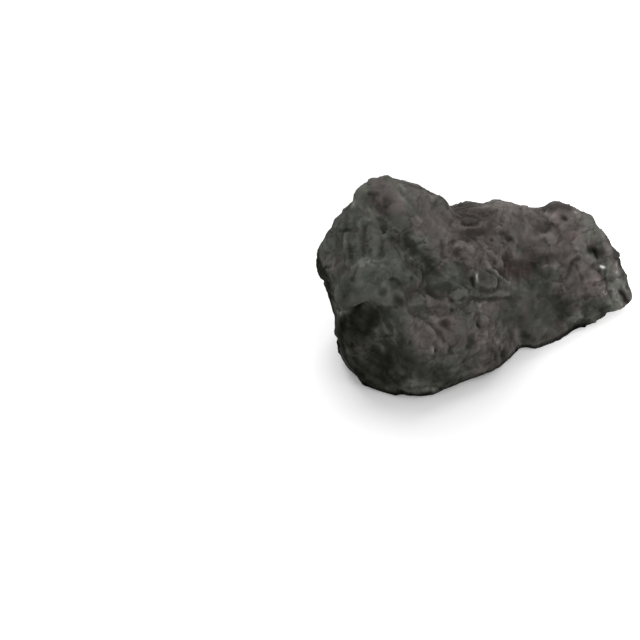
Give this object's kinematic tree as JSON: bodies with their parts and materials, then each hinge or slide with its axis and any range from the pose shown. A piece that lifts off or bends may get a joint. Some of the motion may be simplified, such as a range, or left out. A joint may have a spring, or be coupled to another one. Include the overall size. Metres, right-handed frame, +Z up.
{
  "type": "shungite stone",
  "caption": "Rough, unpolished lump of dark grey shungite with a tall crag at one end and a lower slab at the other, resting on a flat fracture face.",
  "frame": {"origin": "on the ground, at the middle of the stone's length and depth", "axes": "+X along the stone's length, towards its low end; +Z up; -Y is the front, where the ground line of the tall end comes forward"},
  "size_m": [0.06, 0.042, 0.0334],
  "materials": {
    "shungite": "matte, rough fractured stone, near-black grey with faint brown and grey-green patches and small pale mineral flecks"
  },
  "bodies": {
    "root": {"shungite_stone": "shungite"}
  },
  "joints": []
}
